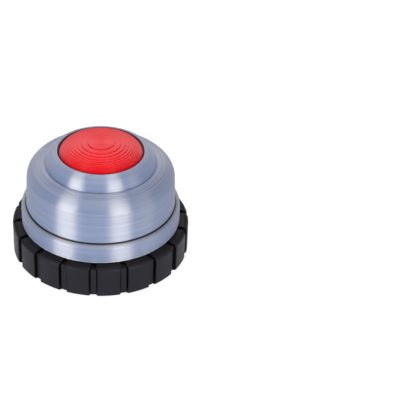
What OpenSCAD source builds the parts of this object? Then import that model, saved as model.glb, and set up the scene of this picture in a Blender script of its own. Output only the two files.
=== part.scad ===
// Tabletop quiz buzzer: a domed two-piece housing on a lobed grip ring, with one
// large sprung button over a switch board, and a speaker and two AAA cells in the base.
// Millimetres, +Z up, origin on the table under the centre of the button.

/* [Grip ring] */
// Outside radius of the lobed grip ring
grip_r = 44; // [43.6:0.2:50]
// How far the ring stands out from the silver flange
grip_step = 4.6; // [4:0.1:5.4]
// Height of the grip ring
grip_h = 16.6; // [15:0.1:20]
// Number of lobes around the ring
lobe_count = 18; // [8:1:28]
// Depth of the grooves between the lobes, along the face and over the top
groove_depth = 1.7; // [0.8:0.1:1.9]
// Width of a groove at its floor
groove_floor_w = 2.7; // [1.5:0.1:4]
// Width that each slanted side of a groove adds
groove_side_w = 0.75; // [0.3:0.05:1.2]
// Broken edge along each lobe
lobe_edge = 0.35; // [0.1:0.05:0.6]
// How far the grooves reach in under the flange
groove_reach = 0.6; // [0.3:0.1:1.2]
// How far the lobes round over inward at the top
lobe_round_w = 2.6; // [1.6:0.1:3.2]
// Height of that round
lobe_round_h = 2.2; // [1.6:0.1:3]
// Height of the ring's lower edge above the table
ring_lift = 0.5; // [0.2:0.1:0.8]

/* [Lower housing] */
// Wall of the skirt inside the grip ring
skirt_wall = 1.6; // [1.2:0.1:2]
// How far the flange stands out from the skirt
flange_seat = 1.8; // [1.2:0.1:2.2]
// Height of the flange's straight band
flange_h = 7.8; // [5:0.1:12]
// Height of the rounded edge over the band
edge_round_h = 1.5; // [0.8:0.1:2]
// Width of that rounded edge
edge_round_w = 1.4; // [0.8:0.1:1.6]
// Width of the sloping ledge between the rounded edge and the seam
ledge_slope_w = 0.9; // [0.5:0.1:1.2]
// Fall of that ledge
ledge_slope_h = 0.2; // [0.1:0.05:0.4]
// Thickness of the inner shelf
shelf_t = 2; // [1.5:0.1:3]

/* [Upper housing] */
// How much the wall leans in by its top
wall_lean = 0.6; // [0:0.1:1.2]
// Height of the wall
wall_h = 14.3; // [13.4:0.1:22]
// Rise of the rounded shoulder
shoulder_rise = 7.7; // [6.5:0.1:10]
// Width of the collar round the throat
collar_w = 6; // [5.6:0.1:7]
// Height of the collar's straight foot
collar_h = 0.4; // [0.2:0.1:2]
// Rise of the crown over that foot
crown_rise = 6.4; // [5.4:0.1:8]
// How far the crown bulges out from a straight cone
crown_bulge = 1.2; // [0.6:0.1:1.6]
// Shell thickness
shell_t = 2.4; // [1.8:0.1:2.8]
// Width of the flat lip round the throat
lip_w = 0.4; // [0.2:0.1:1]
// Open line between the two housings
seam_gap = 0.7; // [0.3:0.05:0.8]
// Height of the steps in which the top of the shoulder rises
shoulder_step = 0.3; // [0.15:0.05:0.5]

/* [Button] */
// Radius of the button cap
cap_r = 20.3; // [19:0.1:21.5]
// Gap between the cap and the throat
throat_gap = 1; // [0.5:0.1:1.5]
// Height of the domed top
dome_h = 6.6; // [4:0.1:8]
// How far the dome starts below the rim
cap_sink = 1.7; // [0.8:0.1:2.2]
// Height of the steps in which the dome rises
cap_step = 0.45; // [0.15:0.05:0.6]
// Wall of the cap
cap_wall = 2.2; // [1.6:0.1:2.6]
// Travel of the button
travel = 3; // [2:0.1:3.4]
// How far the retaining flange stands out from the skirt
cap_flange_w = 3.4; // [2.4:0.1:3.6]
// Thickness of the retaining flange
cap_flange_t = 1.8; // [1.2:0.1:2.4]
// Radius of the guide stem
stem_r = 4; // [3:0.1:4.6]
// Running clearance of the stem in its guide
stem_clearance = 0.08; // [0.04:0.01:0.1]
// Number of stiffening ribs under the cap
cap_ribs = 6; // [3:1:10]

/* [Return spring] */
// Radius of the spring's wire
spring_wire_r = 0.5; // [0.35:0.05:0.6]
// Room between the guide tube and the coil
spring_room = 1.6; // [1:0.1:2]
// Length of the fitted spring
spring_l = 11.8; // [10:0.1:13]
// Number of turns
spring_turns = 4.5; // [3:0.5:5]

/* [Guide frame] */
// Thickness of the guide plate
guide_plate_t = 2; // [1.6:0.1:2.4]
// Wall of the guide tube
guide_tube_wall = 2; // [1.4:0.1:2.4]
// Height of the guide tube over the plate
guide_tube_h = 7; // [5:0.1:7.4]
// Width of the stop ring
stop_ring_w = 2; // [1.4:0.1:2.6]
// Height of the stop ring over the plate
stop_ring_h = 3.6; // [2.8:0.1:4.4]
// Radius of a leg
leg_r = 3; // [2.6:0.1:3.2]

/* [Switch board] */
// Thickness of the deck under the board
deck_t = 2; // [1.6:0.1:2.4]
// Radius of a standoff
standoff_r = 3; // [2.4:0.1:3.4]
// Thickness of the circuit board
board_t = 1.6; // [1:0.1:2]
// Side of the switch body
switch_w = 8.5; // [7:0.1:10]
// Height of the switch body
switch_h = 8; // [7:0.1:9]
// Side of the switch plunger
plunger_w = 3.3; // [2.6:0.1:4]

/* [Base plate] */
// Height of the base plate above the table
foot_proud = 0.8; // [0.6:0.1:1.2]
// Thickness of the base plate
plate_t = 2.2; // [2:0.1:2.8]
// Width of the ring's edge round the base plate
plate_border = 3; // [2.6:0.1:3.4]
// Height of the screw cups over the base plate
cup_h = 3; // [2.4:0.1:4]
// Radius of a screw cup
cup_r = 4; // [3.8:0.1:4.4]
// Radius of a rubber foot
foot_r = 4.5; // [3:0.1:5]
// Depth of a foot's pocket
foot_pocket = 0.8; // [0.4:0.1:1]

/* [Battery bay] */
// Length of a cell over its button
cell_l = 44.5; // [44:0.1:45]
// Radius of a cell
cell_r = 5.25; // [5:0.05:5.3]
// Room between the two cells
cell_gap = 0.5; // [0.3:0.1:1]
// Length of bay that the contact springs take
contact_spring_l = 5.3; // [4.5:0.1:5.6]
// Wall of the battery bay
bay_wall = 1.6; // [1.2:0.1:1.8]
// Thickness of the battery door
door_t = 1.6; // [1.2:0.1:1.8]

/* [Speaker] */
// Radius of the speaker's rim
speaker_r = 11.5; // [10:0.1:12.5]
// Depth of the speaker's basket
basket_h = 4.4; // [3.6:0.1:6]
// Radius of the magnet
magnet_r = 6.5; // [5:0.1:7.5]
// Thickness of the magnet
magnet_t = 3; // [2:0.1:5]
// Radius of a sound hole
sound_hole_r = 0.9; // [0.6:0.05:1.2]
// Distance between the rings of sound holes
sound_hole_pitch = 3.6; // [3:0.1:4]

/* [Power switch] */
// Length of the slide switch body
slide_l = 8.6; // [8:0.1:10]
// Width of the slide switch body
slide_w = 4.4; // [4.2:0.1:5]
// Height of the slide switch body
slide_h = 3.6; // [3:0.1:4.5]
// Travel of the knob
slide_travel = 2.4; // [1.6:0.1:3]

/* [Fits and screws] */
// Gap between fixed pieces that fit into each other
fit = 0.3; // [0.2:0.05:0.4]
// Shank radius of the housing screws
screw_r = 1.25; // [1:0.05:1.4]
// Head radius of the housing screws
head_r = 2.4; // [2:0.1:2.5]
// Head height of the housing screws
head_h = 1.6; // [1.2:0.1:1.7]
// Room between a shank and the hole that it is driven into
thread_gap = 0.06; // [0.02:0.01:0.1]
// Room between a shank and the hole that it passes through
shank_gap = 0.4; // [0.3:0.05:0.5]

/* [Hidden] */
$fn = 64;
// Overlap used where two shapes of one piece are joined, or where a cut runs past a face
bite = 0.5;

// Radii that build on each other, from the outside in
seam_step = 0.1;
deck_gap = 0.5;
flange_r = grip_r - grip_step;
skirt_r = flange_r - flange_seat;
inner_r = skirt_r - skirt_wall;
ring_in_r = skirt_r + fit;
groove_in_r = flange_r - groove_reach;
seam_r = flange_r - edge_round_w - ledge_slope_w;
wall_r = seam_r - seam_step;
wall_top_r = wall_r - wall_lean;
plate_r = grip_r - plate_border;
spigot_r = inner_r - fit;
deck_r = inner_r - deck_gap;
throat_r = cap_r + throat_gap;
collar_r = throat_r + collar_w;
cavity_r = collar_r - shell_t;

// Levels from the table up
plate_z = foot_proud;
plate_top = plate_z + plate_t;
flange_z = ring_lift + grip_h + fit;
band_top = flange_z + flange_h;
seam_z = band_top + edge_round_h + ledge_slope_h;
spigot_l = 1.5;
deck_top = seam_z - spigot_l;
deck_z = deck_top - deck_t;
shelf_z = deck_z - shelf_t;
cup_top = plate_top + cup_h;
housing_z = seam_z + seam_gap;
wall_top = housing_z + wall_h;
crease_z = wall_top + shoulder_rise;
collar_top = crease_z + collar_h;
rim_z = collar_top + crown_rise;

// Button levels: the flange rests under the throat and stops on the guide frame's ring
stop_gap = 0.1;
throat_lift = 0.8;
throat_z = collar_top + throat_lift;
cap_flange_top = throat_z - fit;
cap_flange_z = cap_flange_top - cap_flange_t;
cap_flange_r = cap_r + cap_flange_w;
dome_z = rim_z - cap_sink;
stop_z = cap_flange_z - travel - stop_gap;
guide_top = stop_z - stop_ring_h;
guide_z = guide_top - guide_plate_t;
tube_top = guide_top + guide_tube_h;
tube_r = stem_r + stem_clearance + guide_tube_wall;
spring_r = tube_r + spring_room + spring_wire_r;
spring_seat_gap = 0.05;
spring_top = guide_top + spring_l;

// Board levels: the switch stands just under the guide plate, and the stem on its plunger
switch_room = 1.15;
switch_top = guide_z - switch_room;
board_top = switch_top - switch_h;
board_z = board_top - board_t;
standoff_h = board_z - deck_top;
plunger_l = switch_h;
stem_z = guide_z + travel + stop_gap;
plunger_top = stem_z - stop_gap;
plunger_z = plunger_top - plunger_l;

// Screws and bosses, as radii from the middle and angles round it
base_screw_angles = [0, 60, 120, 180, 270];
housing_screw_angles = [30, 150, 225, 315];
leg_angles = [0, 90, 180, 270];
board_screw_angles = [45, 135, 225, 315];
foot_angles = [45, 135, 240, 300];
boss_r = 3.2;
head_gap = 0.4;
cup_gap = 0.5;
boss_gap = 1.8;
shelf_margin = 2;
leg_gap = 1.1;
board_gap = 0.7;
board_margin = 4;
foot_margin = 1.5;
pilot_r = screw_r + thread_gap;
hole_r = screw_r + shank_gap;
head_room_r = head_r + head_gap;
base_screw_ring_r = inner_r - cup_r - cup_gap;
housing_screw_ring_r = inner_r - boss_r - boss_gap;
shelf_in_r = housing_screw_ring_r - shelf_margin;
leg_ring_r = shelf_in_r - head_r - leg_gap;
board_r = leg_ring_r - leg_r - board_gap;
board_screw_ring_r = board_r - board_margin;
foot_ring_r = plate_r - foot_r - foot_margin;
cup_roof = 1.8;
base_pilot_depth = 9;
base_screw_l = 9.5;
housing_screw_l = 12;
guide_screw_l = 8;
board_screw_tip_gap = 0.6;
board_screw_l = standoff_h + board_t - board_screw_tip_gap;
key_w = 1.6;
key_depth = 1.5;
key_angles = [45, 225];

// Parts on the board, as sizes and places from the switch in the middle
chip_w = 6.3;
chip_l = 9.4;
chip_h = 3.2;
chip_x = -12.2;
chip_lift = 0.3;
pin_pitch = 2.54;
pin_w = 0.6;
pin_h = 2.2;
pin_out = 0.45;
capacitor_x = 11.6;
capacitor_sizes = [[3.1, 7, 4], [2.4, 6, -4.2]];
resistor_l = 6;
resistor_span = 10;
resistor_r = 1;
resistor_lift = 1.2;
resistor_lead_r = 0.3;
resistor_y = 9;
resistor_pitch = 3.2;
socket_w = 7.4;
socket_d = 5.6;
socket_h = 5.8;
socket_wall = 0.8;
socket_x = 4.8;
socket_y = -9.4;

// Battery bay: two cells along X, head to tail, pushed to -Y as far as the wall allows
contact_t = 0.4;
contact_w = 7.6;
contact_gap = 0.1;
contact_wire_r = 0.3;
contact_foot_r = 3;
contact_top_r = 1.8;
cell_pitch = 2 * cell_r + cell_gap;
bay_l = cell_l + contact_spring_l + 2 * contact_t + 4 * contact_gap;
bay_w = cell_pitch + 2 * cell_r + 0.8;
bay_reach = inner_r - 0.6;
bay_half_l = bay_l / 2 + bay_wall;
bay_front = -sqrt(pow(bay_reach, 2) - pow(bay_half_l, 2)) + bay_wall;
bay_y = bay_front + bay_w / 2;
bay_back = bay_front + bay_w;
bay_roof = 1.5;
cell_z = plate_z + door_t + fit + cell_r;
bay_ceiling = cell_z + cell_r + 0.4;
bay_top = bay_ceiling + bay_roof;
ledge_w = 1.2;
ledge_h = 1.2;
door_gap = 0.25;
door_top = plate_z + door_t;
ear_r = 3.2;
ear_x = bay_half_l + 2;
tongue_l = 1.3;
tongue_w = 8;
tongue_t = 1.2;
door_grip_w = 12;
door_grip_pitch = 1.8;
door_shank_r = 1;
door_head_r = 2;

// Speaker on the +Y side, against the bay
speaker_rim_t = 1.4;
speaker_gap = 0.8;
speaker_y = bay_back + bay_wall + speaker_gap + speaker_r;
speaker_screw_r = 1;
speaker_boss_r = 2.2;
speaker_boss_ring = speaker_r + speaker_boss_r + fit;
speaker_screw_angles = [0, 180];
basket_top = plate_top + speaker_rim_t + basket_h;

// Slide switch near the +X side, beside the speaker
slide_y = 13;
slide_x = sqrt(pow(inner_r - 1.8, 2) - pow(slide_y + slide_w / 2, 2)) - slide_l / 2;
knob_w = 2.4;
knob_l = 3;
slot_l = knob_l + slide_travel + 2 * fit;
slot_w = knob_w + 2 * fit;
recess_depth = 1;
recess_margin = 1.5;
can_t = 0.6;

// Points of an elliptic arc round (cr, cz), from angle a0 to a1, in n steps
function arc_points(cr, cz, ar, az, a0, a1, n) =
    [for (i = [0:n]) let (a = a0 + (a1 - a0) * i / n) [cr + ar * cos(a), cz + az * sin(a)]];

// The top of the same arc, from angle a0 up, as level steps of about the height step_h
function stepped_arc(cr, cz, ar, az, a0, step_h) =
    let (low = az * sin(a0),
         count = max(1, round((az - low) / step_h)),
         step = (az - low) / count)
    [for (i = [0:count - 1])
        let (share = (low + (i + 0.2) * step) / az,
             r = cr + ar * sqrt(1 - share * share))
        for (side = [0, 1])
            [r, cz + low + (i + side) * step]];

// Points from p to q on a shallow arc that bulges to the right of that way
function bulged(p, q, bulge, n) =
    let (way = q - p, out = [way[1], -way[0]] / norm(way))
    [for (i = [0:n])
        let (t = i / n)
        p + way * t + out * 4 * bulge * t * (1 - t)];

// Copies of a child on a circle, turned outward
module around(ring_r, angles) {
    for (a = angles)
        rotate([0, 0, a])
            translate([ring_r, 0, 0])
                children();
}

// A ring with a rectangular section
module tube(outer, inner, z0, z1) {
    translate([0, 0, z0])
        difference() {
            cylinder(r = outer, h = z1 - z0);
            translate([0, 0, -bite])
                cylinder(r = inner, h = z1 - z0 + 2 * bite);
        }
}

// A pan-head screw along +Z, with its head under z = 0 and a cross recess
module pan_screw(shank, head, height, length) {
    recess_w = head * 0.28;
    difference() {
        union() {
            translate([0, 0, -bite])
                cylinder(r = shank, h = length + bite);
            rotate_extrude()
                polygon([[0, 0], [head, 0], [head, -height * 0.55],
                         [head * 0.75, -height], [0, -height]]);
        }
        for (turn = [0, 90])
            rotate([0, 0, turn])
                translate([-head * 0.6, -recess_w / 2, -height - bite])
                    cube([head * 1.2, recess_w, bite + height * 0.5]);
    }
}

// A round wire wound into a coil along +Z; the end turns lie almost flat
module wire_coil(foot_r, top_r, height, turns, wire, per_turn, sides) {
    steps = round(turns * per_turn);
    flatness = 0.7;
    function rise(t) = t - flatness * sin(360 * t) / 360 * (180 / PI);
    function centre(t) = wire + (height - 2 * wire) * rise(t);
    points = [for (i = [0:steps]) for (j = [0:sides - 1])
        let (t = i / steps,
             turn = 360 * turns * t,
             a = 360 * j / sides,
             r = foot_r + (top_r - foot_r) * t + wire * cos(a))
        [r * cos(turn), r * sin(turn), centre(t) + wire * sin(a)]];
    sides_faces = [for (i = [0:steps - 1]) for (j = [0:sides - 1])
        let (k = (j + 1) % sides)
        [i * sides + j, i * sides + k, (i + 1) * sides + k, (i + 1) * sides + j]];
    end_faces = [[for (j = [sides - 1:-1:0]) j],
                 [for (j = [0:sides - 1]) steps * sides + j]];
    polyhedron(points = points, faces = concat(sides_faces, end_faces), convexity = 8);
}

// ---- Outer pieces ----

// Plan of one groove between two lobes, from under the flange to beyond the ring's rim
module groove_plan() {
    floor_r = grip_r - groove_depth;
    half_floor = groove_floor_w / 2;
    half_mouth = half_floor + groove_side_w;
    edge_r = grip_r - lobe_edge;
    polygon([[groove_in_r, -half_floor], [floor_r, -half_floor], [edge_r, -half_mouth],
             [grip_r + bite, -half_mouth - lobe_edge - bite],
             [grip_r + bite, half_mouth + lobe_edge + bite],
             [edge_r, half_mouth], [floor_r, half_floor], [groove_in_r, half_floor]]);
}

// Profile of the ring's outside and top, moved inward by a depth
function ring_skin(depth) =
    let (top = ring_lift + grip_h, round_r = grip_r - lobe_round_w)
    concat(arc_points(round_r, top - lobe_round_h, lobe_round_w - depth,
                      lobe_round_h - depth, 0, 90, 8),
           [[ring_in_r, top - depth]]);

module grip_ring() {
    top = ring_lift + grip_h;
    low_edge = 0.6;
    outline = concat(
        [[ring_in_r, plate_top + fit], [plate_r + fit, plate_top + fit],
         [plate_r + fit, ring_lift], [grip_r - low_edge, ring_lift],
         [grip_r, ring_lift + low_edge]],
        ring_skin(0));
    core = concat([[ring_in_r, ring_lift - 2 * bite],
                   [grip_r - groove_depth, ring_lift - 2 * bite]],
                  ring_skin(groove_depth));
    color("#26252d")
        difference() {
            rotate_extrude($fn = 180)
                polygon(outline);
            difference() {
                for (i = [0:lobe_count - 1])
                    rotate([0, 0, 360 * i / lobe_count])
                        translate([0, 0, ring_lift - bite])
                            linear_extrude(height = grip_h + 2 * bite)
                                groove_plan();
                rotate_extrude($fn = 180)
                    polygon(core);
            }
        }
}

module lower_housing() {
    edge = 0.35;
    outline = concat(
        [[inner_r, plate_top + fit], [skirt_r, plate_top + fit], [skirt_r, flange_z],
         [flange_r - edge, flange_z], [flange_r, flange_z + edge]],
        arc_points(flange_r - edge_round_w, band_top, edge_round_w, edge_round_h, 0, 90, 8),
        [[seam_r, seam_z], [inner_r, seam_z]]);
    color("#8d99b5")
        difference() {
            union() {
                rotate_extrude($fn = 180)
                    polygon(outline);
                tube(inner_r + bite, shelf_in_r, shelf_z, deck_z);
                // Bosses for the base screws, each with a rib to the wall
                around(base_screw_ring_r, base_screw_angles) {
                    translate([0, 0, cup_top])
                        cylinder(r = boss_r, h = shelf_z - cup_top + bite);
                    translate([0, -shelf_t * 0.4, cup_top])
                        cube([inner_r + bite - base_screw_ring_r, shelf_t * 0.8,
                              shelf_z - cup_top + bite]);
                }
            }
            around(base_screw_ring_r, base_screw_angles)
                translate([0, 0, cup_top - bite])
                    cylinder(r = pilot_r, h = base_pilot_depth + bite);
            around(housing_screw_ring_r, housing_screw_angles)
                translate([0, 0, shelf_z - bite])
                    cylinder(r = hole_r, h = shelf_t + 2 * bite);
        }
}

// Solid of revolution under the housing's outer skin, from the seam to the rim
module housing_form() {
    shoulder_w = wall_top_r - collar_r;
    first_step = 62;
    outline = concat(
        [[0, housing_z], [wall_r, housing_z]],
        arc_points(collar_r, wall_top, shoulder_w, shoulder_rise, 0, first_step, 18),
        stepped_arc(collar_r, wall_top, shoulder_w, shoulder_rise, first_step,
                    shoulder_step),
        [[collar_r, crease_z]],
        bulged([collar_r, collar_top], [throat_r + lip_w, rim_z], crown_bulge, 10),
        [[0, rim_z]]);
    rotate_extrude($fn = 180)
        polygon(outline);
}

// Hollow under that skin, up to the underside of the throat
module housing_hollow() {
    outline = concat(
        [[0, housing_z - bite], [wall_r - shell_t, housing_z - bite]],
        arc_points(cavity_r, wall_top, wall_top_r - collar_r, shoulder_rise - shell_t,
                   0, 90, 14),
        [[cavity_r, throat_z], [0, throat_z]]);
    rotate_extrude($fn = 180)
        polygon(outline);
}

module upper_housing() {
    boss_top = wall_top + 2;
    key_in_r = cap_flange_r - key_depth + 0.6;
    color("#8d99b5")
        difference() {
            union() {
                difference() {
                    housing_form();
                    housing_hollow();
                }
                // Spigot that centres this shell in the lower housing
                tube(spigot_r, spigot_r - shell_t * 0.75, deck_top + fit, housing_z + bite);
                intersection() {
                    around(housing_screw_ring_r, housing_screw_angles) {
                        translate([0, 0, deck_top])
                            cylinder(r = boss_r, h = boss_top - deck_top);
                        translate([0, -shell_t / 3, housing_z])
                            cube([wall_r - housing_screw_ring_r - shell_t / 2,
                                  shell_t * 2 / 3, boss_top - housing_z]);
                    }
                    cylinder(r = spigot_r, h = boss_top);
                }
                // Two keys that stop the cap turning
                for (a = key_angles)
                    rotate([0, 0, a])
                        translate([key_in_r, -key_w / 2, stop_z])
                            cube([cavity_r - key_in_r + shell_t / 2, key_w,
                                  throat_z - stop_z + bite]);
            }
            translate([0, 0, throat_z - 2 * bite])
                cylinder(r = throat_r, h = rim_z - throat_z + 4 * bite);
            around(housing_screw_ring_r, housing_screw_angles)
                translate([0, 0, deck_top - bite])
                    cylinder(r = pilot_r, h = housing_screw_l + bite);
        }
}

module button_cap() {
    inner_dome_h = dome_h - cap_wall;
    skirt_in_r = cap_r - cap_wall;
    ring_r = spring_r + 1.3;
    nub_r = spring_r - spring_wire_r - 0.4;
    nub_h = 1.4;
    nub_z = spring_top - nub_h;
    rib_t = 1.4;
    rib_z = spring_top + 1.5;
    outline = concat(
        [[skirt_in_r, cap_flange_z], [cap_flange_r, cap_flange_z],
         [cap_flange_r, cap_flange_top], [cap_r, cap_flange_top], [cap_r, dome_z]],
        stepped_arc(0, dome_z, cap_r, dome_h, 0, cap_step),
        [[0, dome_z + dome_h], [0, dome_z + inner_dome_h]],
        arc_points(0, dome_z, skirt_in_r, inner_dome_h, 84, 0, 12));
    color("#e0343c")
        difference() {
            union() {
                rotate_extrude($fn = 120)
                    polygon(outline);
                translate([0, 0, spring_top])
                    cylinder(r = ring_r, h = dome_z + inner_dome_h * 0.9 - spring_top);
                translate([0, 0, nub_z])
                    cylinder(r = nub_r, h = spring_top - nub_z + bite);
                translate([0, 0, stem_z])
                    cylinder(r = stem_r, h = nub_z - stem_z + bite);
                for (i = [0:cap_ribs - 1])
                    rotate([0, 0, 360 * (i + 0.5) / cap_ribs])
                        translate([ring_r - bite, -rib_t / 2, rib_z])
                            cube([skirt_in_r - ring_r + 2 * bite, rib_t,
                                  dome_z + inner_dome_h * 0.3 - rib_z]);
            }
            for (a = key_angles)
                rotate([0, 0, a])
                    translate([cap_flange_r - key_depth, -key_w / 2 - fit,
                               cap_flange_z - bite])
                        cube([key_depth + bite, key_w + 2 * fit,
                              cap_flange_t + 2 * bite]);
        }
}

// ---- Button mechanism ----

module return_spring() {
    height = spring_top - guide_top - 2 * spring_seat_gap;
    color("#b9bdc4")
        translate([0, 0, guide_top + spring_seat_gap])
            wire_coil(spring_r, spring_r, height, spring_turns, spring_wire_r, 24, 8);
}

module guide_frame() {
    stop_r = cap_flange_r;
    web_l = leg_ring_r - stop_r + stop_ring_w;
    window_in_r = spring_r + 1.6;
    window_out_r = stop_r - stop_ring_w - 1;
    window_r = (window_out_r - window_in_r) / 2;
    color("#55585f")
        difference() {
            union() {
                translate([0, 0, guide_z])
                    cylinder(r = stop_r, h = guide_plate_t);
                tube(stop_r, stop_r - stop_ring_w, guide_z, stop_z);
                translate([0, 0, guide_z])
                    cylinder(r = tube_r, h = tube_top - guide_z);
                around(leg_ring_r, leg_angles) {
                    translate([0, 0, deck_top])
                        cylinder(r = leg_r, h = guide_top - deck_top);
                    translate([-web_l, -leg_r, guide_z])
                        cube([web_l, 2 * leg_r, guide_plate_t]);
                }
            }
            translate([0, 0, guide_z - bite])
                cylinder(r = stem_r + stem_clearance, h = tube_top - guide_z + 2 * bite);
            around(leg_ring_r, leg_angles)
                translate([0, 0, deck_top - bite])
                    cylinder(r = pilot_r, h = guide_screw_l + bite);
            // Windows that lighten the plate between the legs
            around((window_in_r + window_out_r) / 2, board_screw_angles)
                translate([0, 0, guide_z - bite])
                    cylinder(r = window_r, h = guide_plate_t + 2 * bite);
        }
}

module mechanism_deck() {
    lead_slot_l = 8;
    lead_slot_w = 3.6;
    color("#55585f")
        difference() {
            union() {
                translate([0, 0, deck_z])
                    cylinder(r = deck_r, h = deck_t, $fn = 180);
                around(board_screw_ring_r, board_screw_angles)
                    translate([0, 0, deck_top - bite])
                        cylinder(r = standoff_r, h = standoff_h + bite);
            }
            around(board_screw_ring_r, board_screw_angles)
                translate([0, 0, deck_z + 0.8])
                    cylinder(r = pilot_r, h = deck_t + standoff_h);
            around(leg_ring_r, leg_angles)
                translate([0, 0, deck_z - bite])
                    cylinder(r = hole_r, h = deck_t + 2 * bite);
            around(housing_screw_ring_r, housing_screw_angles)
                translate([0, 0, deck_z - bite])
                    cylinder(r = hole_r, h = deck_t + 2 * bite);
            // Two slots for the leads of the cells and the speaker
            for (a = [70, 250])
                rotate([0, 0, a])
                    translate([leg_ring_r - lead_slot_w / 2, -lead_slot_l / 2, deck_z - bite])
                        cube([lead_slot_w, lead_slot_l, deck_t + 2 * bite]);
        }
}

module circuit_board() {
    color("#2f6b45")
        difference() {
            translate([0, 0, board_z])
                cylinder(r = board_r, h = board_t, $fn = 120);
            around(board_screw_ring_r, board_screw_angles)
                translate([0, 0, board_z - bite])
                    cylinder(r = hole_r, h = board_t + 2 * bite);
        }
}

module switch_body() {
    shaft_w = plunger_w + 2 * fit;
    nose_h = 1;
    shaft_z = plunger_z - travel - fit;
    color("#303136")
        difference() {
            union() {
                translate([-switch_w / 2, -switch_w / 2, board_top])
                    cube([switch_w, switch_w, switch_h - nose_h]);
                translate([0, 0, switch_top - nose_h - bite])
                    cylinder(r = switch_w * 0.42, h = nose_h + bite);
            }
            translate([-shaft_w / 2, -shaft_w / 2, shaft_z])
                cube([shaft_w, shaft_w, switch_top - shaft_z + bite]);
        }
}

module switch_plunger() {
    tip_h = 0.8;
    color("#e8e6df")
        union() {
            translate([-plunger_w / 2, -plunger_w / 2, plunger_z])
                cube([plunger_w, plunger_w, plunger_top - plunger_z - tip_h]);
            translate([0, 0, plunger_top - tip_h - bite])
                cylinder(r = plunger_w * 0.45, h = tip_h + bite);
        }
}

module controller_chip() {
    color("#1f1f22")
        translate([chip_x, 0, board_top]) {
            difference() {
                translate([-chip_w / 2, -chip_l / 2, chip_lift])
                    cube([chip_w, chip_l, chip_h]);
                translate([0, chip_l / 2, chip_lift + chip_h * 0.85])
                    cylinder(r = chip_w * 0.14, h = chip_h);
            }
            for (side = [-1, 1])
                for (i = [-1.5:1.5])
                    translate([side * chip_w / 2 - pin_out, i * pin_pitch - pin_w / 2, 0])
                        cube([2 * pin_out, pin_w, pin_h]);
        }
}

// An upright round capacitor with a crimped foot
module capacitor(r, h) {
    rotate_extrude()
        polygon([[0, 0], [r, 0], [r, h * 0.14], [r * 0.9, h * 0.18], [r, h * 0.22],
                 [r, h * 0.96], [r * 0.94, h], [0, h]]);
}

module capacitors() {
    color("#3c4a78")
        for (size = capacitor_sizes)
            translate([capacitor_x, size[2], board_top])
                capacitor(size[0], size[1]);
}

module resistor() {
    leg_x = resistor_span / 2 - resistor_lead_r;
    translate([0, 0, resistor_lift])
        rotate([0, 90, 0]) {
            cylinder(r = resistor_r, h = resistor_l, center = true);
            cylinder(r = resistor_lead_r, h = resistor_span, center = true);
        }
    for (side = [-1, 1])
        translate([side * leg_x, 0, 0])
            cylinder(r = resistor_lead_r, h = resistor_lift + resistor_lead_r);
}

module resistors() {
    color("#c9ab7a")
        for (i = [0:2])
            translate([0, resistor_y + resistor_pitch * i, board_top])
                resistor();
}

module lead_sockets() {
    color("#e9e7de")
        for (side = [-1, 1])
            translate([side * socket_x - socket_w / 2, socket_y - socket_d, board_top])
                difference() {
                    cube([socket_w, socket_d, socket_h]);
                    translate([socket_wall, -bite, socket_wall])
                        cube([socket_w - 2 * socket_wall, socket_d - socket_wall + bite,
                              socket_h - 2 * socket_wall]);
                }
}

// ---- Base ----

// Plan of the battery bay, grown by a margin
module bay_plan(grow) {
    translate([0, bay_y])
        square([bay_l + 2 * grow, bay_w + 2 * grow], center = true);
}

// Plan of the battery door with its screw ear
module door_plan(grow) {
    union() {
        bay_plan(grow);
        translate([bay_l / 2 - bite, bay_y - ear_r - grow])
            square([ear_x - bay_l / 2 + bite, 2 * (ear_r + grow)]);
        translate([ear_x, bay_y])
            circle(r = ear_r + grow);
    }
}

module sound_holes() {
    for (ring = [0:2]) {
        count = max(1, 6 * ring);
        for (i = [0:count - 1])
            rotate([0, 0, 360 * i / count])
                translate([ring * sound_hole_pitch, 0, plate_z - bite])
                    cylinder(r = sound_hole_r, h = plate_t + 2 * bite);
    }
}

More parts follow.
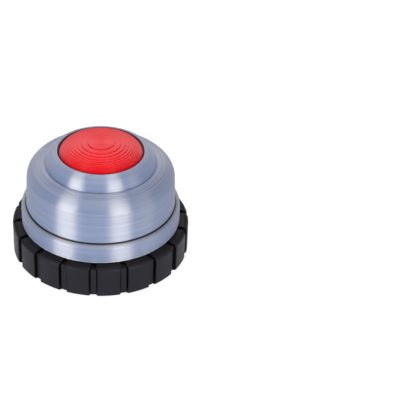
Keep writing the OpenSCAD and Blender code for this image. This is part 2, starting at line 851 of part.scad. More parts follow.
module base_plate() {
    lip_h = 2;
    lip_t = 1.2;
    ear_boss_h = 6;
    rail_t = 1.2;
    recess_l = slide_l + 2 * recess_margin;
    recess_w = slot_w + 2 * recess_margin;
    color("#2b2a31")
        difference() {
            union() {
                translate([0, 0, plate_z])
                    cylinder(r = plate_r, h = plate_t, $fn = 180);
                // Wall that centres the plate in the lower housing
                tube(spigot_r, spigot_r - lip_t, plate_top - bite, plate_top + lip_h);
                around(base_screw_ring_r, base_screw_angles)
                    translate([0, 0, plate_top - bite])
                        cylinder(r = cup_r, h = cup_h + bite);
                translate([0, 0, plate_top - bite])
                    linear_extrude(height = bay_top - plate_top + bite)
                        bay_plan(bay_wall);
                translate([ear_x, bay_y, plate_top - bite])
                    cylinder(r = ear_r - 0.4, h = ear_boss_h + bite);
                translate([0, speaker_y, plate_top - bite])
                    around(speaker_boss_ring, speaker_screw_angles)
                        cylinder(r = speaker_boss_r, h = speaker_rim_t + bite);
                // Two rails that hold the slide switch
                for (side = [-1, 1])
                    translate([slide_x - slide_l / 2, slide_y - rail_t / 2
                               + side * (slide_w / 2 + rail_t / 2 + fit), plate_top - bite])
                        cube([slide_l, rail_t, slide_h * 0.7 + bite]);
            }
            // Screw cups, open at the bottom
            around(base_screw_ring_r, base_screw_angles) {
                translate([0, 0, plate_z - bite])
                    cylinder(r = head_room_r, h = cup_top - plate_z - cup_roof + bite);
                translate([0, 0, plate_z])
                    cylinder(r = hole_r, h = cup_top - plate_z + bite);
            }
            // Battery bay above its ledges, and the door's opening under them
            translate([0, 0, door_top + ledge_h])
                linear_extrude(height = bay_ceiling - door_top - ledge_h)
                    bay_plan(0);
            translate([0, 0, plate_z - bite])
                linear_extrude(height = door_t + bite)
                    door_plan(door_gap);
            translate([0, 0, door_top - bite])
                linear_extrude(height = ledge_h + 2 * bite)
                    bay_plan(-ledge_w);
            translate([-bay_l / 2 - bay_wall - bite, bay_y - tongue_w / 2 - fit,
                       door_top - fit])
                cube([bay_wall + ledge_w + 2 * bite, tongue_w + 2 * fit,
                      tongue_t + 2 * fit]);
            translate([ear_x, bay_y, door_top - bite])
                cylinder(r = door_shank_r + thread_gap, h = ear_boss_h);
            translate([0, speaker_y, 0]) {
                sound_holes();
                around(speaker_boss_ring, speaker_screw_angles)
                    translate([0, 0, plate_z + 0.8])
                        cylinder(r = speaker_screw_r + thread_gap,
                                 h = plate_t + speaker_rim_t);
            }
            // Finger recess and slot of the power switch
            translate([slide_x - recess_l / 2, slide_y - recess_w / 2, plate_z - bite])
                cube([recess_l, recess_w, recess_depth + bite]);
            translate([slide_x - slot_l / 2, slide_y - slot_w / 2, plate_z])
                cube([slot_l, slot_w, plate_t + bite]);
            around(foot_ring_r, foot_angles)
                translate([0, 0, plate_z - bite])
                    cylinder(r = foot_r + 0.1, h = foot_pocket + bite);
        }
}

module battery_door() {
    grip_ribs = 5;
    color("#2b2a31")
        difference() {
            union() {
                translate([0, 0, plate_z])
                    linear_extrude(height = door_t)
                        door_plan(0);
                translate([-bay_l / 2 - tongue_l, bay_y - tongue_w / 2, door_top])
                    cube([tongue_l, tongue_w, tongue_t]);
                translate([-bay_l / 2, bay_y - tongue_w / 2, plate_z])
                    cube([ledge_w, tongue_w, door_t + tongue_t]);
            }
            translate([ear_x, bay_y, plate_z])
                rotate_extrude()
                    polygon([[0, -bite], [door_head_r + 0.1, -bite],
                             [door_head_r + 0.1, 0], [door_shank_r + 0.2, door_head_r * 0.55],
                             [door_shank_r + 0.2, door_t + bite], [0, door_t + bite]]);
            // Finger grooves near the tongue
            for (i = [0:grip_ribs - 1])
                translate([-bay_l / 2 + door_grip_pitch * (i + 2), bay_y - door_grip_w / 2,
                           plate_z - bite])
                    cube([door_grip_pitch * 0.45, door_grip_w, bite + door_t * 0.3]);
        }
}

module door_screw() {
    length = 6;
    color("#b9bdc4")
        translate([ear_x, bay_y, plate_z])
            difference() {
                rotate_extrude()
                    polygon([[0, 0], [door_head_r, 0], [door_shank_r, door_head_r * 0.5],
                             [door_shank_r, length], [0, length]]);
                for (turn = [0, 90])
                    rotate([0, 0, turn])
                        translate([-door_head_r * 0.6, -0.3, -bite])
                            cube([door_head_r * 1.2, 0.6, bite + 0.6]);
            }
}

// One cell along +X: its flat end at x = 0 and its button at the far end
module cell() {
    button_h = 0.9;
    button_r = 1.9;
    rotate([0, 90, 0])
        rotate_extrude()
            polygon([[0, 0], [cell_r - 0.5, 0], [cell_r, 0.5],
                     [cell_r, cell_l - button_h - 0.5], [cell_r - 0.5, cell_l - button_h],
                     [button_r, cell_l - button_h], [button_r, cell_l], [0, cell_l]]);
}

// Places a child at each cell; the two cells lie head to tail
module at_cells() {
    for (side = [-1, 1])
        translate([0, bay_y + side * cell_pitch / 2, cell_z])
            rotate([0, 0, side > 0 ? 0 : 180])
                children();
}

module batteries() {
    button_end = bay_l / 2 - contact_t - 2 * contact_gap;
    color("#c9a23c")
        at_cells()
            translate([button_end - cell_l, 0, 0])
                cell();
}

module battery_springs() {
    color("#c4c8cf")
        at_cells()
            translate([-bay_l / 2 + contact_t + 2 * contact_gap, 0, 0])
                rotate([0, 90, 0])
                    wire_coil(contact_foot_r, contact_top_r, contact_spring_l - contact_gap,
                              3.5, contact_wire_r, 16, 6);
}

module battery_contacts() {
    plate_h = 2 * cell_r - 2.4;
    color("#c4c8cf")
        for (end = [-1, 1])
            for (side = [-1, 1])
                translate([end * (bay_l / 2 - contact_gap - contact_t / 2),
                           bay_y + side * cell_pitch / 2, cell_z])
                    cube([contact_t, contact_w, plate_h], center = true);
}

module speaker_frame() {
    wall = 0.8;
    back_r = magnet_r + 0.4;
    z1 = plate_top + speaker_rim_t;
    outline = [[speaker_r - 1.8, plate_top], [speaker_r, plate_top], [speaker_r, z1],
               [speaker_r - 1, z1], [back_r, basket_top], [0, basket_top],
               [0, basket_top - wall], [back_r - wall * 0.6, basket_top - wall],
               [speaker_r - 1.8, z1 - 0.4]];
    color("#6d7078")
        translate([0, speaker_y, 0])
            difference() {
                rotate_extrude()
                    polygon(outline);
                // Windows between the four arms of the basket
                for (i = [0:3])
                    rotate([0, 0, 90 * i + 45])
                        translate([back_r, -3, z1 + 0.6])
                            cube([speaker_r, 6, basket_h - wall - 1.2]);
            }
}

module speaker_magnet() {
    color("#4a4c52")
        translate([0, speaker_y, basket_top])
            rotate_extrude()
                polygon([[0, 0], [magnet_r, 0], [magnet_r, magnet_t],
                         [magnet_r * 0.87, magnet_t], [magnet_r * 0.87, magnet_t * 1.25],
                         [0, magnet_t * 1.25]]);
}

module speaker_cone() {
    outer = speaker_r - 2.2;
    cap = 3.6;
    paper = 0.5;
    low = plate_top + fit;
    top = plate_top + basket_h - 0.6;
    outline = concat(
        [[outer, low], [outer, low + paper], [cap, top + paper], [0, top + paper], [0, top - 1.3]],
        [[cap * 0.6, top - 1], [cap, top - 0.1]]);
    color("#33343a")
        translate([0, speaker_y, 0])
            rotate_extrude()
                polygon(outline);
}

module power_switch_body() {
    color("#b9bdc4")
        translate([slide_x, slide_y, plate_top])
            difference() {
                translate([-slide_l / 2, -slide_w / 2, 0])
                    cube([slide_l, slide_w, slide_h]);
                translate([-slot_l / 2, -slot_w / 2, -bite])
                    cube([slot_l, slot_w, slide_h - can_t + bite]);
            }
}

module power_switch_knob() {
    knob_top = plate_top + slide_h - can_t - fit;
    knob_z = plate_z + fit;
    x0 = slide_x - slide_travel / 2 - knob_l / 2;
    color("#e8e6df")
        translate([x0, slide_y - knob_w / 2, knob_z])
            difference() {
                cube([knob_l, knob_w, knob_top - knob_z]);
                translate([knob_l / 2 - 0.3, -bite, -bite])
                    cube([0.6, knob_w + 2 * bite, bite + 0.4]);
            }
}

module rubber_feet() {
    edge = 0.4;
    height = foot_proud + foot_pocket;
    color("#1d1d20")
        around(foot_ring_r, foot_angles)
            rotate_extrude()
                polygon([[0, 0], [foot_r - edge, 0], [foot_r, edge], [foot_r, height],
                         [0, height]]);
}

// ---- Screws ----

module base_screws() {
    color("#b9bdc4")
        around(base_screw_ring_r, base_screw_angles)
            translate([0, 0, cup_top - cup_roof])
                pan_screw(screw_r, head_r, head_h, base_screw_l);
}

module housing_screws() {
    color("#b9bdc4")
        around(housing_screw_ring_r, housing_screw_angles)
            translate([0, 0, shelf_z])
                pan_screw(screw_r, head_r, head_h, housing_screw_l + shelf_t);
}

module guide_screws() {
    color("#b9bdc4")
        around(leg_ring_r, leg_angles)
            translate([0, 0, deck_z])
                pan_screw(screw_r, head_r, head_h, guide_screw_l);
}

module board_screws() {
    color("#b9bdc4")
        around(board_screw_ring_r, board_screw_angles)
            translate([0, 0, board_top])
                mirror([0, 0, 1])
                    pan_screw(screw_r, head_r, head_h, board_screw_l);
}

module speaker_screws() {
    color("#b9bdc4")
        translate([0, speaker_y, plate_top + speaker_rim_t])
            around(speaker_boss_ring, speaker_screw_angles)
                mirror([0, 0, 1])
                    pan_screw(speaker_screw_r, speaker_boss_r + 0.9, 1.3, plate_t);
}

grip_ring();
lower_housing();
upper_housing();
button_cap();
return_spring();
guide_frame();
mechanism_deck();
circuit_board();
switch_body();
switch_plunger();
controller_chip();
capacitors();
resistors();
lead_sockets();
base_plate();
battery_door();
batteries();
battery_springs();
battery_contacts();
speaker_frame();
speaker_magnet();
speaker_cone();
power_switch_body();
power_switch_knob();
rubber_feet();
base_screws();
housing_screws();
guide_screws();
board_screws();
speaker_screws();
door_screw();
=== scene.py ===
"""Looks of the quiz buzzer: finishes, fine surface detail, studio, light and camera."""

import math

import bpy
from mathutils import Matrix, Vector


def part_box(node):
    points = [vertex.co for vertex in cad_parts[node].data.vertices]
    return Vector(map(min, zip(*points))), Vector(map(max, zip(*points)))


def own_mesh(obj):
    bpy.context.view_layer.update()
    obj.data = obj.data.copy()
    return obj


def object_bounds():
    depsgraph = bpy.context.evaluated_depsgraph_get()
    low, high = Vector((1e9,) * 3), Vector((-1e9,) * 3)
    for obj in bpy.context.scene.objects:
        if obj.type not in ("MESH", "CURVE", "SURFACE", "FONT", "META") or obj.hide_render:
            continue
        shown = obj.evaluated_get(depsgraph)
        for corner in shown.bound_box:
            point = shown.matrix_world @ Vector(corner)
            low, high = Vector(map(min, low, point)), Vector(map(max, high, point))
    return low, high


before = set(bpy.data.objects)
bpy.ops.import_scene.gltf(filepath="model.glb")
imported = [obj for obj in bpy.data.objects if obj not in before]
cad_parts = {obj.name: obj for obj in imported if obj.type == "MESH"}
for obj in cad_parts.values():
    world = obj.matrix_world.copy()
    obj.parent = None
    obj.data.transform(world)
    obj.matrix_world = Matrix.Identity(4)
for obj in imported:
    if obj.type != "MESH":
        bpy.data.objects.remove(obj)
cad_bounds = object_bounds()
low, high = cad_bounds
centre = (low + high) / 2

# ---- Places on the object, in metres ----

MM = 0.001

# Silver shells: heights of the seam, of the flange's lower edge, of the crease under the
# crown and of the rim, and the radii of the wall and of the crown's foot
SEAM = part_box("lower_housing")[1].z
FLANGE_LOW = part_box("grip_ring")[1].z + 0.3 * MM
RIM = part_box("upper_housing")[1].z
CREASE = RIM - 6.8 * MM
WALL_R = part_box("upper_housing")[1].x
CROWN_R = WALL_R - 9.7 * MM

# Red cap: the radius that shows, inside the flange that keeps the cap in
CAP_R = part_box("button_cap")[1].y - 3.4 * MM

# Black ring: its reach and top, and the grooves between its lobes
RING_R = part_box("grip_ring")[1].y
RING_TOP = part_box("grip_ring")[1].z
GROOVE_DEPTH = 1.7 * MM
LOBE_EDGE = 0.35 * MM

# ---- Values of the finishes: colours are linear red, green and blue ----

# Height of a printed layer, and the distance of the lines of painted shade between layers
LAYER = 0.3 * MM
LINE_STEP = 0.6 * MM
# Direction from the middle axis to the marks where the layers start
MARKS_WAY = (-0.883, 0.469)

SILVER_LOW = (0.073, 0.123, 0.268)
SILVER_HIGH = (0.125, 0.192, 0.367)
SILVER_LEDGE = (0.2, 0.215, 0.265)
# Painted shade in the seam and in the crease
SILVER_GAP_SHADE = (0.012, 0.013, 0.018)
# Painted shade in the lines between printed layers
SILVER_LAYER_SHADE = (0.02, 0.03, 0.07)
SILVER_MARK = (0.5, 0.54, 0.64)
# Painted highlight along the flange's lower edge
SILVER_EDGE_HIGHLIGHT = (0.8, 0.8, 0.86)
SILVER_IOR = 3.1
SILVER_TINT = (1.0, 0.92, 0.81, 1.0)
# How strong the painted shade in the seam and the crease is, and how strong the crown's
# painted layer shade and the painted highlight on the flange's lower lip are, from 0 to 1
SEAM_SHADE = 0.8
CREASE_SHADE = 0.35
CROWN_LAYER_SHADE = 0.35
EDGE_HIGHLIGHT_SHARE = 0.8

RED_LOW = (0.73, 0.007, 0.015)
RED_HIGH = (0.79, 0.011, 0.021)
# Painted shade on the cap's steep edge
RED_EDGE_SHADE = (0.67, 0.006, 0.012)
# Painted shade in the rings between the cap's layers
RED_RING_SHADE = (0.36, 0.0, 0.0)
RED_IOR = 1.38
# Number of rings from the cap's edge to its middle
CAP_RINGS = 15

GRIP_LOW = (0.009, 0.0085, 0.0135)
GRIP_HIGH = (0.014, 0.0132, 0.0195)
# Painted shade on the lobes' tops, under the flange
GRIP_TOP_SHADE = (0.007, 0.007, 0.008)
GRIP_FLOOR = (0.014, 0.0135, 0.018)
# Painted shade on the sides of the grooves
GRIP_SIDE_SHADE = (0.002, 0.002, 0.003)
GRIP_IOR = 1.22

PLASTIC_IOR = 1.45
# Size of the specks in a moulded skin, and in the coarser one of the base
MOULD_GRAIN = 0.35 * MM
BASE_GRAIN = 0.6 * MM

# ---- Node helpers ----


def new_material(name):
    """A material with a Principled shader. Returns it with its node tree and shader."""
    made = bpy.data.materials.new(name)
    made.use_nodes = True
    tree = made.node_tree
    return made, tree, tree.nodes["Principled BSDF"]


def add(tree, kind, **settings):
    """A node of that kind; each setting is one of its attributes."""
    made = tree.nodes.new(kind)
    for name, value in settings.items():
        setattr(made, name, value)
    return made


def join(tree, source, target):
    """Links an output socket to an input socket."""
    tree.links.new(source, target)


def math_node(tree, operation, first, second=0.0, clamp=False):
    """A Math node on two sockets or numbers. Returns its output."""
    made = add(tree, "ShaderNodeMath", operation=operation, use_clamp=clamp)
    for slot, value in zip(made.inputs, (first, second)):
        if isinstance(value, (int, float)):
            slot.default_value = value
        else:
            join(tree, value, slot)
    return made.outputs[0]


def times(tree, first, second):
    """The product of two sockets or numbers."""
    return math_node(tree, "MULTIPLY", first, second)


def blend_colours(tree, factor, first, second):
    """Mixes two colours or sockets by a factor socket, from the first at 0 to the second at 1."""
    made = add(tree, "ShaderNodeMix", data_type="RGBA")
    join(tree, factor, made.inputs["Factor"])
    for slot, value in ((made.inputs["A"], first), (made.inputs["B"], second)):
        if isinstance(value, tuple):
            slot.default_value = (*value, 1.0)
        else:
            join(tree, value, slot)
    return made.outputs["Result"]


def remap(tree, value, span, onto):
    """Maps one span, a pair of numbers, onto another, and holds the end values beyond it."""
    made = add(tree, "ShaderNodeMapRange")
    join(tree, value, made.inputs["Value"])
    for name, number in zip(("From Min", "From Max", "To Min", "To Max"), (*span, *onto)):
        made.inputs[name].default_value = number
    return made.outputs["Result"]


def band(tree, value, start, end, soft):
    """1 where the value lies between start and end, falling to 0 over `soft` on each side."""
    rise = remap(tree, value, (start - soft, start), (0.0, 1.0))
    fall = remap(tree, value, (end, end + soft), (1.0, 0.0))
    return times(tree, rise, fall)


def stretched_noise(tree, across, up, detail=2.0, rough=0.5, shift=0.0):
    """Noise with one cell every `across` metres in X and Y and every `up` metres in Z."""
    place = add(tree, "ShaderNodeTexCoord").outputs["Object"]
    mapping = add(tree, "ShaderNodeMapping")
    mapping.inputs["Scale"].default_value = (1 / across, 1 / across, 1 / up)
    mapping.inputs["Location"].default_value = (shift, shift * 0.7, shift * 1.3)
    join(tree, place, mapping.inputs["Vector"])
    noise = add(tree, "ShaderNodeTexNoise")
    noise.inputs["Scale"].default_value = 1.0
    noise.inputs["Detail"].default_value = detail
    noise.inputs["Roughness"].default_value = rough
    join(tree, mapping.outputs["Vector"], noise.inputs["Vector"])
    return noise.outputs["Fac"]


def coordinates(tree):
    """The X, Y and Z of the point in metres, as three outputs."""
    place = add(tree, "ShaderNodeTexCoord").outputs["Object"]
    split = add(tree, "ShaderNodeSeparateXYZ")
    join(tree, place, split.inputs["Vector"])
    return split.outputs["X"], split.outputs["Y"], split.outputs["Z"]


def place_values(tree):
    """Height over the table and distance from the middle axis in metres, as two outputs."""
    x, y, z = coordinates(tree)
    squares = math_node(tree, "ADD", times(tree, x, x), times(tree, y, y))
    return z, math_node(tree, "SQRT", squares)


def bump(tree, height, distance, strength, normal=None):
    """A Bump node over the normal given, if any. Returns its output."""
    made = add(tree, "ShaderNodeBump")
    made.inputs["Strength"].default_value = strength
    made.inputs["Distance"].default_value = distance
    join(tree, height, made.inputs["Height"])
    if normal is not None:
        join(tree, normal, made.inputs["Normal"])
    return made.outputs["Normal"]


def drawn_out(tree, shader, amount):
    """Stretches highlights across the layers, as the beads of a print do."""
    shader.inputs["Anisotropic"].default_value = amount
    shader.inputs["Anisotropic Rotation"].default_value = 0.25
    tangent = add(tree, "ShaderNodeTangent", direction_type="RADIAL", axis="Z")
    join(tree, tangent.outputs["Tangent"], shader.inputs["Tangent"])


# ---- Finishes ----


def printed_layers(tree):
    """Heights of the printed layers, 0 to 1: one rounded bead for each layer."""
    height, _ = place_values(tree)
    turns = times(tree, height, math.pi / LAYER)
    return math_node(tree, "ABSOLUTE", math_node(tree, "SINE", turns))


def painted_layer_shade(tree, height):
    """Painted shade: thin dark lines between the layers of the shoulder and, weaker, of the
    crown.
    """
    count = math_node(tree, "DIVIDE", height, LINE_STEP)
    line = remap(tree, math_node(tree, "PINGPONG", count, 0.5), (0.06, 0.24), (1.0, 0.0))
    shoulder = band(tree, height, CREASE - 5 * MM, CREASE - 0.3 * MM, soft=1.2 * MM)
    crown = band(tree, height, CREASE + 1.2 * MM, RIM - 1 * MM, soft=0.8 * MM)
    where = math_node(tree, "ADD", shoulder, times(tree, crown, CROWN_LAYER_SHADE))
    noise = stretched_noise(tree, across=30 * MM, up=0.9 * MM, rough=0.6, shift=2.6)
    uneven = remap(tree, noise, (0.35, 0.65), (0.1, 0.75))
    return times(tree, times(tree, line, uneven), where)


def start_marks(tree):
    """Small pale marks at the back left of the shoulder, where the printed layers start."""
    x, y, z = coordinates(tree)
    aside = math_node(tree, "ADD", times(tree, x, MARKS_WAY[1]), times(tree, y, -MARKS_WAY[0]))
    line = band(tree, aside, -0.3 * MM, 0.3 * MM, soft=0.25 * MM)
    left = math_node(tree, "LESS_THAN", x, 0.0)
    noise = stretched_noise(tree, across=9 * MM, up=1.1 * MM, rough=0.6, shift=6.4)
    marks = remap(tree, noise, (0.5, 0.62), (0.0, 0.75))
    shoulder = band(tree, z, CREASE - 6 * MM, CREASE + 3 * MM, soft=1.0 * MM)
    return times(tree, times(tree, marks, shoulder), times(tree, line, left))


def rough_ledge(tree, height):
    """Uneven patches, 0 to 1, on the ledge outside the seam."""
    grit = stretched_noise(tree, across=0.7 * MM, up=0.7 * MM, detail=3.0, rough=0.7, shift=8.1)
    return times(tree, band(tree, height, SEAM - 0.5 * MM, SEAM, soft=0.4 * MM),
                 remap(tree, grit, (0.3, 0.7), (0.35, 1.0)))


def painted_gap_shade(tree, height, away):
    """How strong the painted shade in the seam and, less, in the crease is, 0 to 1."""
    seam = times(tree, band(tree, height, SEAM - 0.15 * MM, SEAM + 0.72 * MM, soft=0.06 * MM),
                 remap(tree, away, (WALL_R + 0.4 * MM, WALL_R + 0.65 * MM), (1.0, 0.0)))
    crease = times(tree, band(tree, height, CREASE - 0.05 * MM, CREASE + 0.3 * MM, soft=0.1 * MM),
                   remap(tree, away, (CROWN_R + 0.1 * MM, CROWN_R + 0.2 * MM), (1.0, 0.0)))
    return math_node(tree, "MAXIMUM", times(tree, seam, SEAM_SHADE),
                     times(tree, crease, CREASE_SHADE))


def silver_print():
    """Silk-silver printed plastic: streaks that follow the layers, drawn-out highlights."""
    made, tree, shader = new_material("silver_print")
    fine = stretched_noise(tree, across=60 * MM, up=0.45 * MM, detail=3.0, rough=0.6)
    wide = stretched_noise(tree, across=90 * MM, up=2.2 * MM, shift=3.1)
    streaks = math_node(tree, "ADD", times(tree, fine, 0.6), times(tree, wide, 0.4))
    tone = remap(tree, streaks, (0.38, 0.62), (0.0, 1.0))
    colour = blend_colours(tree, tone, SILVER_LOW, SILVER_HIGH)
    height, away = place_values(tree)

    ledge = rough_ledge(tree, height)
    # Painted shade in the seam and in the crease
    dark = painted_gap_shade(tree, height, away)
    # Painted highlight along the flange's lower edge
    lip = band(tree, height, FLANGE_LOW, FLANGE_LOW + 0.45 * MM, soft=0.12 * MM)
    for place, tint in ((ledge, SILVER_LEDGE), (dark, SILVER_GAP_SHADE),
                        # Painted shade between the printed layers
                        (painted_layer_shade(tree, height), SILVER_LAYER_SHADE),
                        (start_marks(tree), SILVER_MARK),
                        (times(tree, lip, EDGE_HIGHLIGHT_SHARE), SILVER_EDGE_HIGHLIGHT)):
        colour = blend_colours(tree, place, colour, tint)
    join(tree, colour, shader.inputs["Base Color"])

    rough = remap(tree, streaks, (0.3, 0.7), (0.4, 0.48))
    # Rougher where the seam and the crease get painted shade
    rough = math_node(tree, "ADD", rough, times(tree, dark, 0.4))
    rough = math_node(tree, "ADD", rough, times(tree, ledge, 0.2), clamp=True)
    join(tree, rough, shader.inputs["Roughness"])
    # Metal with the near-black colour of the painted shade, so that the seam and the crease
    # hardly reflect
    join(tree, dark, shader.inputs["Metallic"])
    shader.inputs["IOR"].default_value = SILVER_IOR
    shader.inputs["Specular Tint"].default_value = SILVER_TINT
    drawn_out(tree, shader, 1.0)
    beads = bump(tree, printed_layers(tree), distance=0.012 * MM, strength=0.3)
    relief = bump(tree, fine, distance=0.02 * MM, strength=0.5, normal=beads)
    join(tree, relief, shader.inputs["Normal"])
    return made


def red_print():
    """Satin red printed plastic, with painted shade in the rings of its layers and at its steep
    edge.
    """
    made, tree, shader = new_material("red_print")
    fine = stretched_noise(tree, across=9 * MM, up=0.5 * MM)
    colour = blend_colours(tree, fine, RED_LOW, RED_HIGH)

    # Rise of the dome over its edge, as a share of the whole
    _, away = place_values(tree)
    away = math_node(tree, "DIVIDE", away, CAP_R)
    rest = math_node(tree, "SUBTRACT", 1.0, times(tree, away, away))
    share = math_node(tree, "SQRT", math_node(tree, "MAXIMUM", rest, 0.0))
    # Painted shade, deeper towards the cap's steep edge
    edge = remap(tree, share, (0.25, 0.8), (1.0, 0.0))
    colour = blend_colours(tree, edge, colour, RED_EDGE_SHADE)
    index = math_node(tree, "SUBTRACT", times(tree, share, CAP_RINGS), 0.2)
    # Painted shade in thin rings between the layers
    ring = remap(tree, math_node(tree, "PINGPONG", index, 0.5), (0.03, 0.11), (0.3, 0.0))
    colour = blend_colours(tree, ring, colour, RED_RING_SHADE)
    join(tree, colour, shader.inputs["Base Color"])

    join(tree, remap(tree, fine, (0.3, 0.7), (0.29, 0.36)), shader.inputs["Roughness"])
    shader.inputs["IOR"].default_value = RED_IOR
    drawn_out(tree, shader, 0.8)
    grain = stretched_noise(tree, across=0.5 * MM, up=0.5 * MM, rough=0.6, shift=1.7)
    relief = bump(tree, grain, distance=0.02 * MM, strength=0.4)
    join(tree, relief, shader.inputs["Normal"])
    return made


def speckled(tree, grain):
    """The normal of a moulded skin with specks of this size."""
    speck = stretched_noise(tree, across=grain, up=grain, rough=0.6, shift=5.3)
    return bump(tree, speck, distance=0.02 * MM, strength=0.5)


def grooves(tree, height, away):
    """Where the floors and the sides of the grooves between the lobes are, as two outputs."""
    # Depth of the point under the ring's outer face or top
    depth = math_node(tree, "MINIMUM", math_node(tree, "SUBTRACT", RING_R, away),
                      math_node(tree, "SUBTRACT", RING_TOP, height))
    floor = remap(tree, depth, (GROOVE_DEPTH - 0.2 * MM, GROOVE_DEPTH - 0.05 * MM), (0.0, 1.0))
    # Below the rounded top, a side starts closer to the face, at the lobe's broken edge
    edge = remap(tree, height, (RING_TOP - 2.6 * MM, RING_TOP - 2.3 * MM), (LOBE_EDGE, 0.0))
    sunk = remap(tree, math_node(tree, "ADD", depth, edge), (0.72 * MM, 0.84 * MM), (0.0, 1.0))
    return floor, times(tree, sunk, math_node(tree, "SUBTRACT", 1.0, floor))


def black_grip():
    """Black moulded lobes: light outer faces, painted shade on the tops and on the sides of the
    grooves.
    """
    made, tree, shader = new_material("black_grip")
    cloud = stretched_noise(tree, across=7 * MM, up=7 * MM, detail=3.0, rough=0.55)
    height, away = place_values(tree)
    face = blend_colours(tree, cloud, GRIP_LOW, GRIP_HIGH)
    outer = remap(tree, away, (RING_R - 2.0 * MM, RING_R - 0.2 * MM), (0.0, 1.0))
    floor, side = grooves(tree, height, away)
    # Painted shade on the lobes' tops, under the flange
    colour = blend_colours(tree, outer, GRIP_TOP_SHADE, face)
    colour = blend_colours(tree, floor, colour, GRIP_FLOOR)
    # Painted shade on the sides of the grooves
    colour = blend_colours(tree, side, colour, GRIP_SIDE_SHADE)
    join(tree, colour, shader.inputs["Base Color"])

    # Metal with a near-black colour, so that the groove sides hardly reflect: more painted shade
    join(tree, times(tree, side, 0.9), shader.inputs["Metallic"])
    join(tree, remap(tree, cloud, (0.3, 0.7), (0.4, 0.5)), shader.inputs["Roughness"])
    join(tree, speckled(tree, MOULD_GRAIN), shader.inputs["Normal"])
    shader.inputs["IOR"].default_value = GRIP_IOR
    return made


def moulded(name, dark, light, rough, grain=MOULD_GRAIN):
    """Moulded plastic or rubber with a fine grain and a slight change of tone."""
    made, tree, shader = new_material(name)
    cloud = stretched_noise(tree, across=7 * MM, up=7 * MM, detail=3.0, rough=0.55)
    join(tree, blend_colours(tree, cloud, dark, light), shader.inputs["Base Color"])
    roughness = remap(tree, cloud, (0.3, 0.7), (rough - 0.05, rough + 0.05))
    join(tree, roughness, shader.inputs["Roughness"])
    join(tree, speckled(tree, grain), shader.inputs["Normal"])
    shader.inputs["IOR"].default_value = PLASTIC_IOR
    return made


def metal(name, dark, light, rough):
    """Plated or drawn metal with fine scratches."""
    made, tree, shader = new_material(name)
    scratch = stretched_noise(tree, across=0.25 * MM, up=2 * MM, detail=3.0, rough=0.6)
    join(tree, blend_colours(tree, scratch, dark, light), shader.inputs["Base Color"])
    roughness = remap(tree, scratch, (0.3, 0.7), (rough - 0.06, rough + 0.08))
    join(tree, roughness, shader.inputs["Roughness"])
    shader.inputs["Metallic"].default_value = 1.0
    relief = bump(tree, scratch, distance=0.01 * MM, strength=0.3)
    join(tree, relief, shader.inputs["Normal"])
    return made


def dress(names, material):
    """Gives the CAD nodes of these names one material all over."""
    for name in names:
        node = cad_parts[name]
        node.data.materials.clear()
        node.data.materials.append(material)
        for face in node.data.polygons:
            face.material_index = 0


# Node names, then the material's name, darker tone, lighter tone and roughness, and the
# size of its specks where that isn't MOULD_GRAIN
MOULDED = (
    (["base_plate", "battery_door"],
     "black_base", (0.016, 0.016, 0.02), (0.026, 0.026, 0.031), 0.5, BASE_GRAIN),
    (["rubber_feet"], "foot_rubber", (0.01, 0.01, 0.011), (0.018, 0.018, 0.019), 0.75),
    (["guide_frame", "mechanism_deck"],
     "inner_plastic", (0.05, 0.055, 0.065), (0.07, 0.075, 0.085), 0.5),
    (["circuit_board"], "board_green", (0.01, 0.09, 0.035), (0.018, 0.13, 0.05), 0.3),
    (["switch_body", "controller_chip"],
     "component_black", (0.012, 0.012, 0.014), (0.02, 0.02, 0.022), 0.45),
    (["lead_sockets", "switch_plunger", "power_switch_knob"],
     "white_nylon", (0.70, 0.69, 0.64), (0.78, 0.77, 0.72), 0.4),
    (["capacitors"], "capacitor_blue", (0.02, 0.035, 0.15), (0.03, 0.05, 0.2), 0.3),
    (["resistors"], "resistor_tan", (0.42, 0.3, 0.16), (0.5, 0.37, 0.2), 0.4),
    (["batteries"], "cell_wrap", (0.5, 0.33, 0.05), (0.58, 0.4, 0.07), 0.3),
    (["speaker_cone"], "speaker_paper", (0.02, 0.02, 0.022), (0.03, 0.03, 0.033), 0.85),
    (["speaker_magnet"], "ferrite", (0.04, 0.04, 0.043), (0.06, 0.06, 0.065), 0.5))
METAL = (
    (["speaker_frame"], "speaker_steel", (0.2, 0.21, 0.23), (0.28, 0.29, 0.31), 0.45),
    (["return_spring", "battery_springs", "battery_contacts", "power_switch_body"],
     "spring_steel", (0.55, 0.56, 0.58), (0.68, 0.69, 0.7), 0.28),
    (["base_screws", "housing_screws", "guide_screws", "board_screws", "speaker_screws",
      "door_screw"],
     "zinc_screw", (0.5, 0.51, 0.53), (0.62, 0.63, 0.65), 0.33))

dress(["upper_housing", "lower_housing"], silver_print())
dress(["button_cap"], red_print())
dress(["grip_ring"], black_grip())
for names, *values in MOULDED:
    dress(names, moulded(*values))
for names, *values in METAL:
    dress(names, metal(*values))

# ---- The return spring gets a mesh of its own ----


def squash_spring():
    """Gives the spring a mesh of its own."""
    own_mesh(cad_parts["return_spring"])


squash_spring()

# ---- Studio ----

FLOOR_SIZE = 6.0
# The floor's colour as the object is lit by it, and its colour and glow as it is seen
FLOOR_GREY = (0.5, 0.5, 0.5, 1)
FLOOR_SEEN = (0.3, 0.3, 0.3, 1)
FLOOR_GLOW = 0.8
WORLD_LIGHT = 0.43
# Name; azimuth and elevation in degrees; distance, width and height in metres; watts
LAMPS = (("left_strip", -54, 9, 0.7, 0.33, 0.6, 5.0),
         ("right_strip", 22, 9, 0.7, 0.33, 0.6, 4.5),
         ("right_fill", 62, 20, 0.9, 0.4, 0.7, 0.9),
         ("back_panel", 180, 45, 0.9, 0.8, 0.5, 2.6),
         ("top_panel", 0, 82, 0.9, 0.5, 0.5, 1.6))


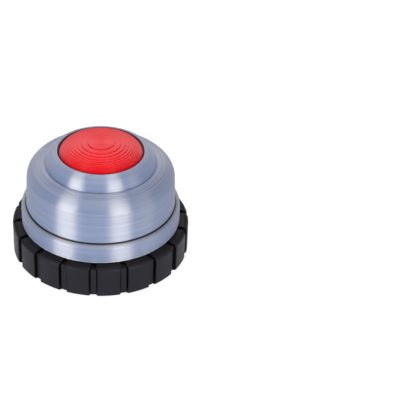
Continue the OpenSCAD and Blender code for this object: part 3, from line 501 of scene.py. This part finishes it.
def direction(azimuth, elevation):
    """Unit vector away from the object. Azimuth 0 is the front, and grows to the right."""
    a, e = math.radians(azimuth), math.radians(elevation)
    return Vector((math.sin(a) * math.cos(e), -math.cos(a) * math.cos(e), math.sin(e)))


def mix_shaders(tree, factor, first, second):
    """Mixes two shaders by a factor socket. Returns the output."""
    made = add(tree, "ShaderNodeMixShader")
    for slot, socket in zip(made.inputs, (factor, first, second)):
        join(tree, socket, slot)
    return made.outputs[0]


def floor_material():
    """Pale floor: seen straight or in a reflection it is near white and keeps the shadow."""
    made = bpy.data.materials.new("pale_floor")
    made.use_nodes = True
    tree = made.node_tree
    tree.nodes.clear()
    output = add(tree, "ShaderNodeOutputMaterial")
    path = add(tree, "ShaderNodeLightPath")
    plain = add(tree, "ShaderNodeBsdfDiffuse")
    plain.inputs["Color"].default_value = FLOOR_GREY
    pale = add(tree, "ShaderNodeBsdfDiffuse")
    pale.inputs["Color"].default_value = FLOOR_SEEN
    glow = add(tree, "ShaderNodeEmission")
    glow.inputs["Strength"].default_value = FLOOR_GLOW
    both = add(tree, "ShaderNodeAddShader")
    join(tree, pale.outputs[0], both.inputs[0])
    join(tree, glow.outputs[0], both.inputs[1])
    mirrored = math_node(tree, "MAXIMUM", path.outputs["Is Glossy Ray"],
                         path.outputs["Is Transmission Ray"])
    seen = math_node(tree, "MAXIMUM", path.outputs["Is Camera Ray"], mirrored)
    top = mix_shaders(tree, seen, plain.outputs[0], both.outputs[0])
    # Clear from below, so that the underside can be looked at
    below = add(tree, "ShaderNodeNewGeometry").outputs["Backfacing"]
    clear = add(tree, "ShaderNodeBsdfTransparent").outputs[0]
    join(tree, mix_shaders(tree, below, top, clear), output.inputs["Surface"])
    return made


def make_floor():
    """The floor that the feet stand on."""
    bpy.ops.mesh.primitive_plane_add(size=FLOOR_SIZE, location=(0, 0, low.z))
    floor = bpy.context.object
    floor.name = "studio_floor"
    floor.data.materials.append(floor_material())


def make_world(strength):
    """Even light all round, and a white background."""
    world = bpy.data.worlds.new("studio")
    bpy.context.scene.world = world
    world.use_nodes = True
    tree = world.node_tree
    tree.nodes.clear()
    output = add(tree, "ShaderNodeOutputWorld")
    path = add(tree, "ShaderNodeLightPath")
    seen = math_node(tree, "MAXIMUM", path.outputs["Is Camera Ray"],
                     path.outputs["Is Transmission Ray"])
    soft = add(tree, "ShaderNodeBackground")
    soft.inputs["Strength"].default_value = strength
    white = add(tree, "ShaderNodeBackground")
    white.inputs["Color"].default_value = (1, 1, 1, 1)
    join(tree, mix_shaders(tree, seen, soft.outputs[0], white.outputs[0]),
         output.inputs["Surface"])


def softbox(name, azimuth, elevation, distance, width, height, power):
    """An area lamp aimed at the object."""
    way = direction(azimuth, elevation)
    lamp = bpy.data.lights.new(name, "AREA")
    lamp.shape = "RECTANGLE"
    lamp.size, lamp.size_y = width, height
    lamp.energy = power
    holder = bpy.data.objects.new(name, lamp)
    bpy.context.scene.collection.objects.link(holder)
    holder.location = centre + way * distance
    holder.rotation_euler = (-way).to_track_quat("-Z", "Y").to_euler()


make_floor()
make_world(WORLD_LIGHT)
for lamp_values in LAMPS:
    softbox(*lamp_values)

# ---- Camera ----

VIEW_AZIMUTH = -5.0
VIEW_ELEVATION = 35.15
BASE_RADIUS = (high.x - low.x) / 2
TARGET = Vector((0, 0, 0.618 * BASE_RADIUS))
DISTANCE = 15.73 * BASE_RADIUS
# In widths of the frame: the radius of the base, and the target's offset from the middle
RADIUS_IN_FRAME = 0.2198
OFFSET_IN_FRAME = (-0.2475, 0.0016)
SENSOR_WIDTH = 36.0


def make_camera():
    """The camera looks down on the object from a little left of its front."""
    back = direction(VIEW_AZIMUTH, VIEW_ELEVATION)
    data = bpy.data.cameras.new("camera")
    data.sensor_width = SENSOR_WIDTH
    focal = RADIUS_IN_FRAME * DISTANCE / BASE_RADIUS
    data.lens = focal * data.sensor_width
    camera = bpy.data.objects.new("camera", data)
    bpy.context.scene.collection.objects.link(camera)
    # The camera turns aside from the target, so that the object keeps its place in the frame
    yaw = math.atan(OFFSET_IN_FRAME[0] / focal)
    pitch = math.atan(OFFSET_IN_FRAME[1] / focal)
    look = (-back).to_track_quat("-Z", "Y").to_matrix()
    turn = Matrix.Rotation(yaw, 3, "Y") @ Matrix.Rotation(-pitch, 3, "X")
    camera.matrix_world = Matrix.Translation(TARGET + back * DISTANCE) @ (look @ turn).to_4x4()
    data.clip_start, data.clip_end = 0.01, 20
    bpy.context.scene.camera = camera


make_camera()
bpy.context.scene.view_settings.view_transform = "Standard"
